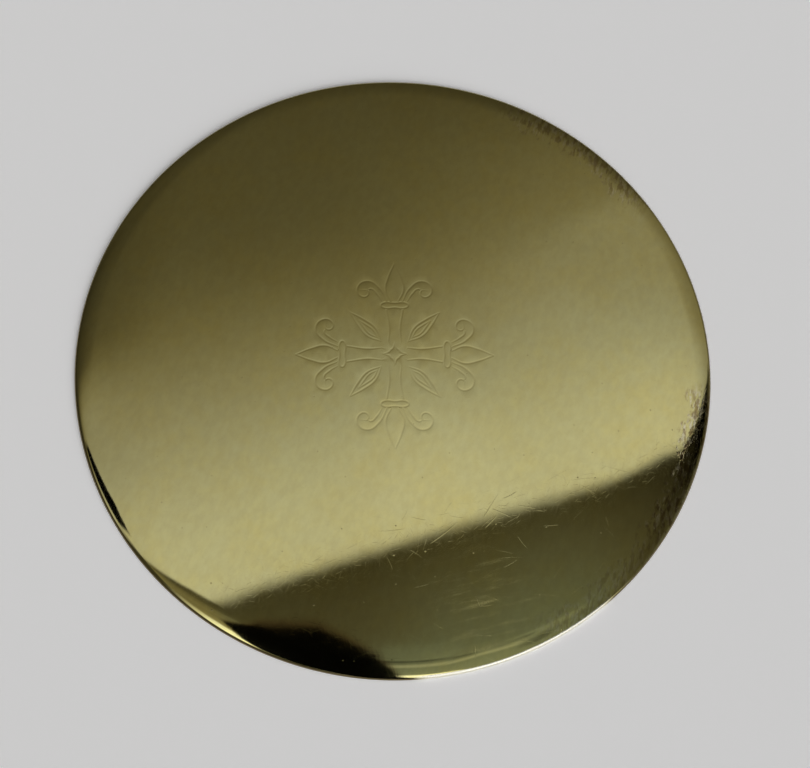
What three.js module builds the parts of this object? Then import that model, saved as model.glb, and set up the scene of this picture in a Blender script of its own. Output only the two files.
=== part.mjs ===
// A plain dished paten: the shallow round plate that carries the bread at the altar.
// The whole object is one disc of silver sheet, spun over a former, gilded and polished.
// It lies here as it is stored, turned over: the rim is down and the convex back is up.
// Units are millimetres, +Z is up, and the origin is the centre of the rim, on the table.

import * as THREE from "three";

// Driving dimensions
const RIM_DIAMETER = 150; // over the widest part of the edge
const SHEET_THICKNESS = 1.0;
const CROWN_REACH = 70.5; // radius at which the even crown ends and the rim starts to turn down
const CROWN_SLOPE = THREE.MathUtils.degToRad(13); // slope of the crown at that radius
const RIM_SLOPE = THREE.MathUtils.degToRad(21); // slope of the turned rim where the edge begins
const EDGE_ROUND = 0.8; // radius that takes the sharp corner off the convex side of the edge
const EDGE_DROP = 0.3; // from the widest point of the edge down to its flat underside

// How finely the curves are cut into facets
const CROWN_STEPS = 14;
const RIM_STEPS = 5;
const EDGE_STEPS = 7;
const TURN_STEPS = 96;

const GILT = { color: 0xd2c27a, metalness: 1, roughness: 0.12 };

// The sheet's convex face is three arcs that run on from each other without a corner.
// Each arc is given by its centre and radius, and by the slopes at which it starts and ends.
function convexArcs() {
  const crownRadius = CROWN_REACH / Math.sin(CROWN_SLOPE);
  const crown = { x: 0, z: -crownRadius, radius: crownRadius, from: 0, to: CROWN_SLOPE };

  const edgeCentre = RIM_DIAMETER / 2 - EDGE_ROUND;
  const rimEnd = edgeCentre + EDGE_ROUND * Math.sin(RIM_SLOPE);
  const rimRadius = (rimEnd - CROWN_REACH) / (Math.sin(RIM_SLOPE) - Math.sin(CROWN_SLOPE));
  const crownEnd = crown.z + crownRadius * Math.cos(CROWN_SLOPE);
  const rim = {
    x: CROWN_REACH - rimRadius * Math.sin(CROWN_SLOPE),
    z: crownEnd - rimRadius * Math.cos(CROWN_SLOPE),
    radius: rimRadius,
    from: CROWN_SLOPE,
    to: RIM_SLOPE,
  };

  const rimBottom = rim.z + rimRadius * Math.cos(RIM_SLOPE);
  const edge = {
    x: edgeCentre,
    z: rimBottom - EDGE_ROUND * Math.cos(RIM_SLOPE),
    radius: EDGE_ROUND,
    from: RIM_SLOPE,
    to: Math.acos(-EDGE_DROP / EDGE_ROUND),
  };
  return { crown, rim, edge };
}

// Points along an arc. An inset moves them inwards, to the other face of the sheet.
function arcPoints(arc, steps, inset = 0) {
  const points = [];
  for (let i = 0; i <= steps; i++) {
    const slope = arc.from + ((arc.to - arc.from) * i) / steps;
    const radius = arc.radius - inset;
    points.push(new THREE.Vector2(arc.x + radius * Math.sin(slope), arc.z + radius * Math.cos(slope)));
  }
  return points;
}

// The concave face runs on at the rim's slope until it meets the flat on which the plate rests.
function landInnerPoint(arcs, landHeight) {
  const last = arcPoints(arcs.rim, 1, SHEET_THICKNESS)[1];
  const run = (last.y - landHeight) / Math.tan(RIM_SLOPE);
  return new THREE.Vector2(last.x + run, landHeight);
}

// Half of the section through the plate, from the middle of the hollow side, out round the
// edge, and back to the middle of the crown.
function sectionPoints() {
  const arcs = convexArcs();
  const landHeight = arcs.edge.z - EDGE_DROP;
  const hollow = [
    ...arcPoints(arcs.crown, CROWN_STEPS, SHEET_THICKNESS),
    ...arcPoints(arcs.rim, RIM_STEPS, SHEET_THICKNESS).slice(1),
    landInnerPoint(arcs, landHeight),
  ];
  const outside = [
    ...arcPoints(arcs.crown, CROWN_STEPS),
    ...arcPoints(arcs.rim, RIM_STEPS).slice(1),
    ...arcPoints(arcs.edge, EDGE_STEPS).slice(1),
  ].reverse();
  const onAxis = (points, index) => points[index].setX(0);
  onAxis(hollow, 0);
  onAxis(outside, outside.length - 1);
  return [...hollow, ...outside].map((p) => new THREE.Vector2(p.x, p.y - landHeight));
}

// Spinning the section round the plate's axis gives the one solid that the object is.
function makeDish() {
  const spun = new THREE.LatheGeometry(sectionPoints(), TURN_STEPS);
  spun.rotateX(Math.PI / 2);
  const dish = new THREE.Mesh(spun, new THREE.MeshStandardMaterial(GILT));
  dish.name = "dish";
  return dish;
}

const paten = new THREE.Group();
paten.add(makeDish());

export default paten;
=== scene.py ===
# %% [markdown]
# A plain gilt paten, lying rim down.
# The object is one disc of silver sheet, spun over a former into a shallow crown, gilded and
# polished by hand. It lies with its convex back up, and an outline cross is engraved in the middle.
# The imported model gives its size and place. This lesson makes the surface that the eye sees: the
# true curve, the engraver's cuts, the wear of the gilding, and the studio that shines in it.

# %% Load the frame
from math import acos, cos, pi, radians, sin, sqrt, tan

import bpy
import numpy as np
from mathutils import Matrix, Vector
from mathutils.geometry import delaunay_2d_cdt


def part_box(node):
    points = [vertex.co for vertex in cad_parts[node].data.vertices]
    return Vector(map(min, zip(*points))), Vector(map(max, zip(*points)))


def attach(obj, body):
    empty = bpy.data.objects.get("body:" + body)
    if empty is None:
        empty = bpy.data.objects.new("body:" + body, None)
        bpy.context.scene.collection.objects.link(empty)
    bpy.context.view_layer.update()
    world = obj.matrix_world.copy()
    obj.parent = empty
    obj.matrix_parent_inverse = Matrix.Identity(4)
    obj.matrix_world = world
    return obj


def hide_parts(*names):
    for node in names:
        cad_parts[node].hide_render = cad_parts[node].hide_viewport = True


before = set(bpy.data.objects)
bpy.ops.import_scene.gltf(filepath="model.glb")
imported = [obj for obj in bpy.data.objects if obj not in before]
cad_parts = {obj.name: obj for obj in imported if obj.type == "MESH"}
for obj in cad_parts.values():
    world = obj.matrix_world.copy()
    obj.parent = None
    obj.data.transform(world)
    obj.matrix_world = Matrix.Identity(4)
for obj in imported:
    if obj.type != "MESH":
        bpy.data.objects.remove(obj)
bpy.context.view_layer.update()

MM = 0.001
scene = bpy.context.scene

# %% [markdown]
# The camera first. The plate's outline in the picture is an ellipse a little wider than it is high,
# so the camera looks down at about 70 degrees. The ellipse leans by 4 degrees and sits a little off
# the picture's middle, so the camera is also rolled and aimed a few millimetres beside the plate.

# %% Camera
CAMERA_DISTANCE = 0.58
CAMERA_ELEVATION = radians(70.16)
CAMERA_SIDE = radians(5.0)  # how far the camera stands to the left of the ornament's own axis
CAMERA_ROLL = radians(4.98)
AIM_RIGHT = 2.67 * MM
AIM_UP = -3.56 * MM
LENS = 109.17  # focal length in millimetres, on a sensor 36 mm wide


def camera_axes():
    """The camera's right, up and backward directions."""
    level = cos(CAMERA_ELEVATION)
    back = Vector((-level * sin(CAMERA_SIDE), -level * cos(CAMERA_SIDE), sin(CAMERA_ELEVATION)))
    flat_right = Vector((cos(CAMERA_SIDE), -sin(CAMERA_SIDE), 0))
    right = Matrix.Rotation(CAMERA_ROLL, 3, back) @ flat_right
    return right, back.cross(right), back


def make_camera():
    right, up, back = camera_axes()
    data = bpy.data.cameras.new("photo_camera")
    data.lens = LENS
    camera = bpy.data.objects.new("photo_camera", data)
    camera.location = right * AIM_RIGHT + up * AIM_UP + back * CAMERA_DISTANCE
    camera.rotation_euler = Matrix((right, up, back)).transposed().to_euler()
    scene.collection.objects.link(camera)
    scene.camera = camera


make_camera()
print("camera at", [round(x, 3) for x in scene.camera.location])

# %% [markdown]
# Small helpers for node trees. Every socket takes either a link from another socket or a plain
# value, so one function feeds both. The same maths nodes serve shaders and Geometry Nodes.

# %% Node helpers
def feed(tree, socket, value):
    if isinstance(value, bpy.types.NodeSocket):
        tree.links.new(value, socket)
    else:
        socket.default_value = value


def place(tree, kind, settings=None, **inputs):
    """Adds a node, sets its properties and feeds the inputs named by their labels."""
    node = tree.nodes.new(kind)
    for name, value in (settings or {}).items():
        setattr(node, name, value)
    for label, value in inputs.items():
        feed(tree, node.inputs[label.replace("_", " ")], value)
    return node


def calc(tree, operation, *values):
    node = tree.nodes.new("ShaderNodeMath")
    node.operation = operation
    for socket, value in zip(node.inputs, values):
        feed(tree, socket, value)
    return node.outputs[0]


def vector(tree, operation, *values):
    """A vector maths node. Scaling takes its number from the socket of that name."""
    node = tree.nodes.new("ShaderNodeVectorMath")
    node.operation = operation
    sockets = [node.inputs[0], node.inputs["Scale"]] if operation == "SCALE" else node.inputs
    for socket, value in zip(sockets, values):
        feed(tree, socket, value)
    gives_number = operation in ("LENGTH", "DISTANCE", "DOT_PRODUCT")
    return node.outputs["Value" if gives_number else "Vector"]


def ramp(tree, value, low, high, at_low=0.0, at_high=1.0):
    """A soft step: at_low up to low, at_high from high on."""
    node = tree.nodes.new("ShaderNodeMapRange")
    node.interpolation_type = "SMOOTHSTEP"
    for label, number in (
        ("Value", value),
        ("From Min", low),
        ("From Max", high),
        ("To Min", at_low),
        ("To Max", at_high),
    ):
        feed(tree, node.inputs[label], number)
    return node.outputs["Result"]


def parts_of(tree, value):
    """The x, y and z of a vector, as three sockets."""
    node = place(tree, "ShaderNodeSeparateXYZ", Vector=value)
    return node.outputs["X"], node.outputs["Y"], node.outputs["Z"]


def joined(tree, x, y, z):
    return place(tree, "ShaderNodeCombineXYZ", X=x, Y=y, Z=z).outputs["Vector"]


def tinted(tree, share, first, second):
    """A colour between first and second."""
    node = place(tree, "ShaderNodeMix", {"data_type": "RGBA"})
    for socket, value in zip((node.inputs[0], node.inputs[6], node.inputs[7]), (share, first, second)):
        feed(tree, socket, value)
    return node.outputs[2]


def above(tree, value, limit, soft):
    """1 where value is over limit and 0 where it is under, with a border that is soft to both sides."""
    return ramp(tree, calc(tree, "SUBTRACT", value, limit), -soft, soft)


# %% [markdown]
# Trees with named sockets. A tree is built in the script, and its inputs carry the sizes in plain
# words. To run a Geometry Nodes tree, a host object gets it as a modifier, each input is set by the
# identifier of its socket, and the finished shape is kept as a plain mesh.

# %% Tree helpers
FLOAT = "NodeSocketFloat"
COLOR = "NodeSocketColor"
VECTOR = "NodeSocketVector"
GEOMETRY = "NodeSocketGeometry"
OBJECT = "NodeSocketObject"
MATERIAL = "NodeSocketMaterial"


def new_tree(name, kind, inputs, outputs):
    """A node group with named sockets. Each input is (name, socket type, starting value)."""
    tree = bpy.data.node_groups.new(name, kind)
    for label, socket_type, start in inputs:
        socket = tree.interface.new_socket(name=label, in_out="INPUT", socket_type=socket_type)
        if start is not None:
            socket.default_value = start
    for label, socket_type in outputs:
        tree.interface.new_socket(name=label, in_out="OUTPUT", socket_type=socket_type)
    source = tree.nodes.new("NodeGroupInput")
    result = tree.nodes.new("NodeGroupOutput")
    return tree, source.outputs, result.inputs


def apply_tree(host, tree, **values):
    """Runs a Geometry Nodes tree on host and returns the finished plain mesh."""
    modifier = host.modifiers.new(tree.name, "NODES")
    modifier.node_group = tree
    for item in tree.interface.items_tree:
        key = item.name.lower().replace(" ", "_")
        if item.in_out == "INPUT" and key in values:
            modifier[item.identifier] = values[key]
    evaluated = host.evaluated_get(bpy.context.evaluated_depsgraph_get())
    mesh = bpy.data.meshes.new_from_object(evaluated)
    host.modifiers.remove(modifier)
    return mesh


# %% [markdown]
# The section. A spinner cuts a template of the plate's section before the former is turned, so the
# lesson draws the same line once: over the crown, down the steeper rim, round the edge, across the
# narrow flat on which the plate rests, and back along the hollow side at the sheet's thickness.
# Each arc is given by its centre, its radius and the slopes at which it starts and ends.

# %% Section of the plate
SHEET_THICKNESS = 1.0 * MM
CROWN_REACH = 70.5 * MM  # radius at which the crown ends and the rim starts to turn down
CROWN_SLOPE = radians(13)
CROWN_RADIUS = CROWN_REACH / sin(CROWN_SLOPE)
RIM_SLOPE = radians(21)
EDGE_ROUND = 0.8 * MM
EDGE_DROP = 0.3 * MM  # from the widest point of the edge down to its flat underside
RIM_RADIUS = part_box("dish")[1].x
FLAT_RING_SOFTENING = 0.04 * MM  # the borders of the flat ring are broken by this much
# Distances between the points of the section. They are closest where it bends most.
CROWN_STEP = 1.0 * MM
RIM_STEP = 0.4 * MM
EDGE_STEP = 0.1 * MM
HOLLOW_RIM_STEP = 0.6 * MM
HOLLOW_STEP = 3 * MM


def arc(centre, radius, start, end, step):
    """Points along an arc, where a slope of 0 is its top and pi / 2 its outermost point."""
    count = max(2, round(abs(end - start) * radius / step))
    slopes = [start + (end - start) * i / count for i in range(count + 1)]
    return [(centre[0] + radius * sin(s), centre[1] + radius * cos(s)) for s in slopes]


def section_points():
    """The half section from the crown's middle round to the middle of the hollow, as (r, z)."""
    crown = (0.0, -CROWN_RADIUS)
    edge_r = RIM_RADIUS - EDGE_ROUND
    rim_end = edge_r + EDGE_ROUND * sin(RIM_SLOPE)
    rim_radius = (rim_end - CROWN_REACH) / (sin(RIM_SLOPE) - sin(CROWN_SLOPE))
    step_over = CROWN_RADIUS - rim_radius
    rim = (step_over * sin(CROWN_SLOPE), crown[1] + step_over * cos(CROWN_SLOPE))
    edge = (edge_r, rim[1] + (rim_radius - EDGE_ROUND) * cos(RIM_SLOPE))
    flat_z = edge[1] - EDGE_DROP

    back = arc(crown, CROWN_RADIUS, 0, CROWN_SLOPE, CROWN_STEP)
    back += arc(rim, rim_radius, CROWN_SLOPE, RIM_SLOPE, RIM_STEP)[1:]
    back += arc(edge, EDGE_ROUND, RIM_SLOPE, acos(-EDGE_DROP / EDGE_ROUND), EDGE_STEP)[1:]
    hollow = arc(rim, rim_radius - SHEET_THICKNESS, RIM_SLOPE, CROWN_SLOPE, HOLLOW_RIM_STEP)
    hollow += arc(crown, CROWN_RADIUS - SHEET_THICKNESS, CROWN_SLOPE, 0, HOLLOW_STEP)[1:]
    flat_in = hollow[0][0] + (hollow[0][1] - flat_z) / tan(RIM_SLOPE)
    flat_out = back[-1][0]
    flat_ring = [
        (flat_out - FLAT_RING_SOFTENING, flat_z),
        (flat_in + FLAT_RING_SOFTENING, flat_z),
        (flat_in, flat_z + FLAT_RING_SOFTENING / 4),
    ]
    return [(r, z - flat_z) for r, z in back + flat_ring + hollow]


section = section_points()
lengths = np.cumsum([0] + [sqrt((b[0] - a[0]) ** 2 + (b[1] - a[1]) ** 2)
                           for a, b in zip(section, section[1:])])
print("the section is", round(lengths[-1] / MM, 1), "mm long and rises", round(section[0][1] / MM, 3))


def section_template():
    """The section as a curve in the XZ plane, for the tree that shapes the plate."""
    data = bpy.data.curves.new("section_template", "CURVE")
    data.dimensions = "3D"
    spline = data.splines.new("POLY")
    spline.points.add(len(section) - 1)
    for point, (r, z) in zip(spline.points, section):
        point.co = (r, 0, z, 1)
    template = bpy.data.objects.new("section_template", data)
    scene.collection.objects.link(template)
    return template


template = section_template()

# %% [markdown]
# The ornament. On the real plate a fine outline figure stands in the middle of the crown. Here it
# is a cross fleury, the flowered cross of church silver, drawn as an engraver would set it out:
# half of one arm as a few flowing lines. Each point also says how hard the graver is pressed,
# from 0 where it leaves the metal to 1 at full depth.

# %% Half of one arm of the cross
CUT_DEPTH = 0.018 * MM
CUT_HALF_WIDTH = 0.40 * MM
# Each line is a row of points (x, y, press), in millimetres from the middle of the cross.
HALF_ARM = {
    "shaft": [(1.5, 3.0, 0.4), (1.25, 6.2, 1.0), (1.9, 11.0, 0.7)],
    "collar": [
        (0.0, 11.6, 0.9), (2.6, 11.6, 0.9), (3.2, 12.2, 0.9), (2.6, 12.8, 0.9), (0.0, 12.8, 0.9),
    ],
    "bud": [(0.9, 13.3, 0.5), (2.1, 16.2, 1.0), (1.5, 19.3, 1.0), (0.0, 23.0, 0.6)],
    "petal": [
        (1.9, 13.3, 0.4), (3.6, 16.6, 1.0), (6.4, 18.4, 1.0), (8.6, 16.9, 1.0),
        (8.1, 14.7, 0.9), (6.4, 14.6, 0.8), (6.3, 16.0, 0.6), (7.1, 16.1, 0.3),
    ],
    "petal_inside": [(3.0, 13.3, 0.3), (4.2, 15.2, 0.9), (5.6, 16.4, 0.8), (6.3, 16.0, 0.3)],
    "leaf": [(3.1, 3.1, 0.3), (4.5, 6.4, 1.0), (7.2, 8.6, 1.0), (10.4, 10.4, 0.5)],
    "leaf_inside": [(4.1, 4.1, 0.3), (5.0, 5.9, 0.8), (6.6, 7.2, 0.8), (8.3, 8.3, 0.4)],
    "boss": [(0.0, 2.6, 0.5), (0.5, 1.3, 1.0), (0.95, 0.95, 1.0)],
}


def half_arm_curve():
    data = bpy.data.curves.new("half_arm", "CURVE")
    data.dimensions = "3D"
    data.resolution_u = 24
    for points in HALF_ARM.values():
        spline = data.splines.new("BEZIER")
        spline.bezier_points.add(len(points) - 1)
        for point, (x, y, press) in zip(spline.bezier_points, points):
            point.co = (x * MM, y * MM, 0)
            point.radius = press
            point.handle_left_type = "AUTO"
            point.handle_right_type = "AUTO"
    drawn = bpy.data.objects.new("half_arm", data)
    scene.collection.objects.link(drawn)
    return drawn


half_arm = half_arm_curve()
print("one half arm is", len(HALF_ARM), "lines")

# %% [markdown]
# A Geometry Nodes tree turns that half arm into the whole cross. It spaces points evenly along
# each line, sinks them by the pressure of the graver, adds the mirror image, and sets four copies
# round the middle. The result is bare lines: the paths that the graver follows.

# %% Tree: the engraver's lines
def lines_tree():
    tree, given, result = new_tree(
        "engravers lines", "GeometryNodeTree",
        [("Geometry", GEOMETRY, None), ("Half Arm", OBJECT, None), ("Arms", "NodeSocketInt", 4),
         ("Step", FLOAT, 0.25 * MM), ("Depth", FLOAT, CUT_DEPTH), ("Finish", MATERIAL, None)],
        [("Geometry", GEOMETRY)])
    drawn = place(tree, "GeometryNodeObjectInfo", Object=given["Half Arm"]).outputs["Geometry"]
    even = place(tree, "GeometryNodeResampleCurve", Curve=drawn, Length=given["Step"],
                 settings={"mode": "LENGTH"}).outputs["Curve"]
    press = tree.nodes.new("GeometryNodeInputRadius").outputs["Radius"]
    sink = calc(tree, "MULTIPLY", calc(tree, "MULTIPLY", press, given["Depth"]), -1.0)
    cut = place(tree, "GeometryNodeSetPosition", Geometry=even, Offset=joined(tree, 0.0, 0.0, sink))
    mirror = place(tree, "GeometryNodeTransform", Geometry=cut.outputs[0], Scale=(-1, 1, 1))
    arm = tree.nodes.new("GeometryNodeJoinGeometry")
    tree.links.new(cut.outputs[0], arm.inputs[0])
    tree.links.new(mirror.outputs[0], arm.inputs[0])
    spots = place(tree, "GeometryNodePoints", Count=given["Arms"]).outputs[0]
    index = tree.nodes.new("GeometryNodeInputIndex").outputs[0]
    turn = calc(tree, "DIVIDE", calc(tree, "MULTIPLY", index, 2 * pi), given["Arms"])
    copies = place(tree, "GeometryNodeInstanceOnPoints", Points=spots, Instance=arm.outputs[0],
                   Rotation=joined(tree, 0.0, 0.0, turn))
    lines = place(tree, "GeometryNodeCurveToMesh", Curve=copies.outputs[0])
    real = place(tree, "GeometryNodeRealizeInstances", Geometry=lines.outputs[0])
    done = place(tree, "GeometryNodeSetMaterial", Geometry=real.outputs[0], Material=given["Finish"])
    tree.links.new(done.outputs[0], result["Geometry"])
    return tree


engraving = bpy.data.objects.new("engraving", bpy.data.meshes.new("empty"))
scene.collection.objects.link(engraving)
engraving.data = apply_tree(engraving, lines_tree(), half_arm=half_arm)
print("the engraver's lines have", len(engraving.data.vertices), "points")

# %% [markdown]
# The blank. The plate's faces are laid out flat first, as one disc whose outer half will be folded
# round the edge and under. Its middle is filled with points in a sunflower's spiral, which spreads
# them evenly without any seams. Along the engraver's lines the spiral is thinned out, and rows of
# points follow each line instead, so that the edges of the mesh run along the cut. A Delaunay
# triangulation joins all of them, and plain rings continue it past the crown.

# %% Flat blank
CROWN_BLANK = 66 * MM  # radius in plan that the triangulation fills
AROUND = 384
SPIRAL_SPACING = 1.6 * MM
CUT_ROWS = [0.0, 0.07, 0.14, 0.21, 0.28, 0.36]  # distances of the rows from a line, in millimetres
CLEAR_OF_CUTS = CUT_ROWS[-1] * MM + SPIRAL_SPACING / 4  # the spiral's points keep this far off the cuts
JOIN_WITHIN = 0.004  # millimetres; points closer than this become one
RING_GAP = 0.3 * MM  # least gap between the triangulation and the first plain ring
GOLDEN_ANGLE = pi * (3 - sqrt(5))


def rows_along(lines):
    """Rows of points beside every engraved line, and the edges that join them along it."""
    count = len(lines.vertices)
    points = np.array([v.co[:2] for v in lines.vertices])
    pairs = np.array([e.vertices[:] for e in lines.edges])
    along = np.zeros((count, 2))
    for end in (0, 1):
        np.add.at(along, pairs[:, end], points[pairs[:, 1]] - points[pairs[:, 0]])
    along /= np.maximum(np.linalg.norm(along, axis=1, keepdims=True), 1e-9)
    across = np.stack([-along[:, 1], along[:, 0]], axis=1)
    offsets = [side * row * MM for row in CUT_ROWS for side in ((1, -1) if row else (1,))]
    rows = [points + across * offset for offset in offsets]
    edges = [pairs + count * i for i in range(len(offsets))]
    return np.concatenate(rows), np.concatenate(edges)


def sunflower(radius, spacing):
    """Evenly spread points inside a circle."""
    count = int(pi * (radius / spacing) ** 2)
    n = np.arange(count)
    r = radius * np.sqrt((n + 0.5) / count)
    return np.stack([r * np.cos(n * GOLDEN_ANGLE), r * np.sin(n * GOLDEN_ANGLE)], axis=1)


def ring(radius):
    angles = np.arange(AROUND) * 2 * pi / AROUND
    return np.stack([radius * np.cos(angles), radius * np.sin(angles)], axis=1)


def unrolled(points):
    """Moves points from their place in plan to their distance along the crown's curve."""
    r = np.maximum(np.linalg.norm(points, axis=1, keepdims=True), 1e-9)
    return points * (CROWN_RADIUS * np.arcsin(r / CROWN_RADIUS) / r)


def triangulated_middle():
    """The middle of the blank: its points, its faces, and which points lie on its border in turn."""
    cut_points, cut_edges = rows_along(engraving.data)
    spread = sunflower(CROWN_BLANK - SPIRAL_SPACING / 2, SPIRAL_SPACING)
    lines = cut_points[:len(engraving.data.vertices)]
    gaps = np.array([np.min(np.sum((lines - p) ** 2, axis=1)) for p in spread])
    spread = spread[gaps > CLEAR_OF_CUTS ** 2]
    start = len(cut_points) + len(spread)
    border_edges = [(start + i, start + (i + 1) % AROUND) for i in range(AROUND)]
    inside = np.concatenate([cut_points, spread, ring(CROWN_BLANK)]) / MM
    edges = [tuple(int(x) for x in pair) for pair in cut_edges] + border_edges
    found, _, faces, origins_of, _, _ = delaunay_2d_cdt(
        [Vector(p) for p in inside], edges, [], 0, JOIN_WITHIN)
    border = {}
    for index, origins in enumerate(origins_of):
        for origin in origins:
            if origin >= start:
                border[origin - start] = index
    corners = unrolled(np.array([p[:] for p in found]) * MM)
    return corners, [list(face) for face in faces], [border[i] for i in range(AROUND)]


def flat_blank():
    corners, faces, last = triangulated_middle()
    points = [corners]
    count = len(corners)
    for length in lengths[lengths > np.linalg.norm(corners[last[0]]) + RING_GAP]:
        points.append(ring(length))
        fresh = [count + i for i in range(AROUND)]
        count += AROUND
        for i in range(AROUND):
            after = (i + 1) % AROUND
            faces.append([last[i], fresh[i], fresh[after], last[after]])
        last = fresh
    flat = np.concatenate(points)
    mesh = bpy.data.meshes.new("blank")
    mesh.from_pydata([(x, y, 0) for x, y in flat], [], faces)
    mesh.validate()
    return mesh


blank = flat_blank()
print("the blank has", len(blank.vertices), "points and", len(blank.polygons), "faces")

# %% [markdown]
# The relief of the face is one number at each place: how far the metal lies below the true curve.
# Two things lower it. Hand polishing leaves long, very shallow waves, which a noise gives. And the
# graver leaves a groove: deepest on its line, rising to both sides until it meets the face. Years
# of polishing have rounded its bottom and its lips, so it is a shallow bell in section. A lightly
# pressed cut is also narrower. Proximity to the engraved lines gives both the distance to the
# nearest line and, from that point's height, the depth of the cut there.

# %% Tree: relief of the face
NARROWEST_CUT = 0.5  # width of the lightest cut beside the fully pressed one


def relief_tree():
    tree, given, result = new_tree(
        "face relief", "GeometryNodeTree",
        [("Place", VECTOR, None), ("Lines", GEOMETRY, None), ("Full Depth", FLOAT, CUT_DEPTH),
         ("Half Width", FLOAT, CUT_HALF_WIDTH), ("Wave Height", FLOAT, 0.012 * MM),
         ("Wave Length", FLOAT, 30 * MM), ("Seed", FLOAT, 3.0)],
        [("Height", FLOAT), ("Cut", FLOAT)])
    x, y, _ = parts_of(tree, given["Place"])
    flat_place = joined(tree, x, y, 0.0)
    near = place(tree, "GeometryNodeProximity", {"target_element": "EDGES"},
                 Target=given["Lines"], Source_Position=flat_place).outputs["Position"]
    near_x, near_y, near_z = parts_of(tree, near)
    away = vector(tree, "DISTANCE", flat_place, joined(tree, near_x, near_y, 0.0))
    depth = calc(tree, "MULTIPLY", near_z, -1.0)
    press = calc(tree, "DIVIDE", depth, given["Full Depth"])
    narrowed = calc(tree, "MULTIPLY_ADD", press, 1 - NARROWEST_CUT, NARROWEST_CUT)
    half_width = calc(tree, "MULTIPLY", given["Half Width"], narrowed)
    share = calc(tree, "MINIMUM", calc(tree, "DIVIDE", away, half_width), 1.0)
    profile = calc(tree, "POWER", calc(tree, "SUBTRACT", 1.0, calc(tree, "POWER", share, 2.0)), 2.0)
    groove = calc(tree, "MULTIPLY", depth, profile)
    across = calc(tree, "DIVIDE", 1.0, given["Wave Length"])
    wave = place(tree, "ShaderNodeTexNoise", {"noise_dimensions": "4D"}, Vector=flat_place,
                 W=given["Seed"], Scale=across, Detail=1.0, Roughness=0.4).outputs[0]
    sunk = calc(tree, "MULTIPLY", wave, given["Wave Height"])
    tree.links.new(calc(tree, "MULTIPLY", calc(tree, "ADD", groove, sunk), -1.0), result["Height"])
    tree.links.new(calc(tree, "MULTIPLY", press, profile), result["Cut"])
    return tree


relief = relief_tree()
print("the relief tree has", len(relief.nodes), "nodes")

# %% [markdown]
# The plate. The tree rolls the flat blank up along the template: a point's distance from the
# blank's middle is its distance along the section. It then adds the relief to the face. A polished
# surface shows every error of its shading, so the tree doesn't leave the normals to the triangles.
# It works them out from the template's own direction and from the slope of the relief, which it
# measures by sampling the relief again a hair's breadth to the side.

# %% Tree: rolling the blank into the plate
FACE_FADE = 2 * MM  # past the face the relief fades out over this length
FOLD_FADE = 1 * MM  # and the mask of the hollow side fades in over this one
SEAL_WITHIN = 0.001 * MM


def sampled_relief(tree, plan, lines, step):
    """The relief at a place, the mask of its cut, and its slopes along X and along Y."""
    samples = []
    for side in ((0, 0, 0), (1, 0, 0), (0, 1, 0)):
        there = vector(tree, "ADD", plan, vector(tree, "SCALE", side, step))
        samples.append(place(tree, "GeometryNodeGroup", {"node_tree": relief}, Place=there, Lines=lines))
    here, beside_x, beside_y = [node.outputs["Height"] for node in samples]
    slopes = [calc(tree, "DIVIDE", calc(tree, "SUBTRACT", beside, here), step)
              for beside in (beside_x, beside_y)]
    return here, samples[0].outputs["Cut"], slopes


def plate_tree():
    tree, given, result = new_tree(
        "plate from blank", "GeometryNodeTree",
        [("Geometry", GEOMETRY, None), ("Template", OBJECT, None), ("Engraving", OBJECT, None),
         ("Face Length", FLOAT, 70 * MM), ("Fold Length", FLOAT, 76 * MM),
         ("Sample Step", FLOAT, 0.01 * MM), ("Finish", MATERIAL, None)],
        [("Geometry", GEOMETRY)])
    spot = tree.nodes.new("GeometryNodeInputPosition").outputs[0]
    length = vector(tree, "LENGTH", spot)
    outward = vector(tree, "NORMALIZE", spot)
    section_curve = place(tree, "GeometryNodeObjectInfo", Object=given["Template"]).outputs["Geometry"]
    sample = place(tree, "GeometryNodeSampleCurve", {"mode": "LENGTH"}, Curves=section_curve,
                   Length=length)
    reach, _, height = parts_of(tree, sample.outputs["Position"])
    run, _, rise = parts_of(tree, sample.outputs["Tangent"])
    plan = vector(tree, "SCALE", outward, reach)

    lines = place(tree, "GeometryNodeObjectInfo", Object=given["Engraving"]).outputs["Geometry"]
    face_end = calc(tree, "ADD", given["Face Length"], FACE_FADE)
    on_face = ramp(tree, length, given["Face Length"], face_end, 1.0, 0.0)
    here, cut, slopes = sampled_relief(tree, plan, lines, given["Sample Step"])
    lowered = calc(tree, "MULTIPLY", here, on_face)
    normal = vector(tree, "ADD", vector(tree, "SCALE", outward, calc(tree, "MULTIPLY", rise, -1.0)),
                    joined(tree, 0.0, 0.0, run))
    lean = vector(tree, "SCALE", joined(tree, *slopes, 0.0), calc(tree, "MULTIPLY", on_face, run))
    turned = vector(tree, "NORMALIZE", vector(tree, "SUBTRACT", normal, lean))

    rolled = vector(tree, "ADD", plan, joined(tree, 0.0, 0.0, calc(tree, "ADD", height, lowered)))
    kept = given["Geometry"]
    fold_end = calc(tree, "ADD", given["Fold Length"], FOLD_FADE)
    hollow = ramp(tree, length, given["Fold Length"], fold_end)
    for name, kind, value in (
        ("true_normal", "FLOAT_VECTOR", turned),
        ("cut", "FLOAT", calc(tree, "MULTIPLY", cut, on_face)),
        ("hollow", "FLOAT", hollow),
    ):
        store = place(tree, "GeometryNodeStoreNamedAttribute", {"data_type": kind}, Geometry=kept,
                      Name=name, Value=value)
        kept = store.outputs[0]
    moved = place(tree, "GeometryNodeSetPosition", Geometry=kept, Position=rolled).outputs[0]
    sealed = place(tree, "GeometryNodeMergeByDistance", Geometry=moved,
                   Distance=SEAL_WITHIN).outputs[0]
    real = place(tree, "GeometryNodeRealizeInstances", Geometry=sealed).outputs[0]
    done = place(tree, "GeometryNodeSetMaterial", Geometry=real, Material=given["Finish"]).outputs[0]
    tree.links.new(done, result["Geometry"])
    return tree


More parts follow.
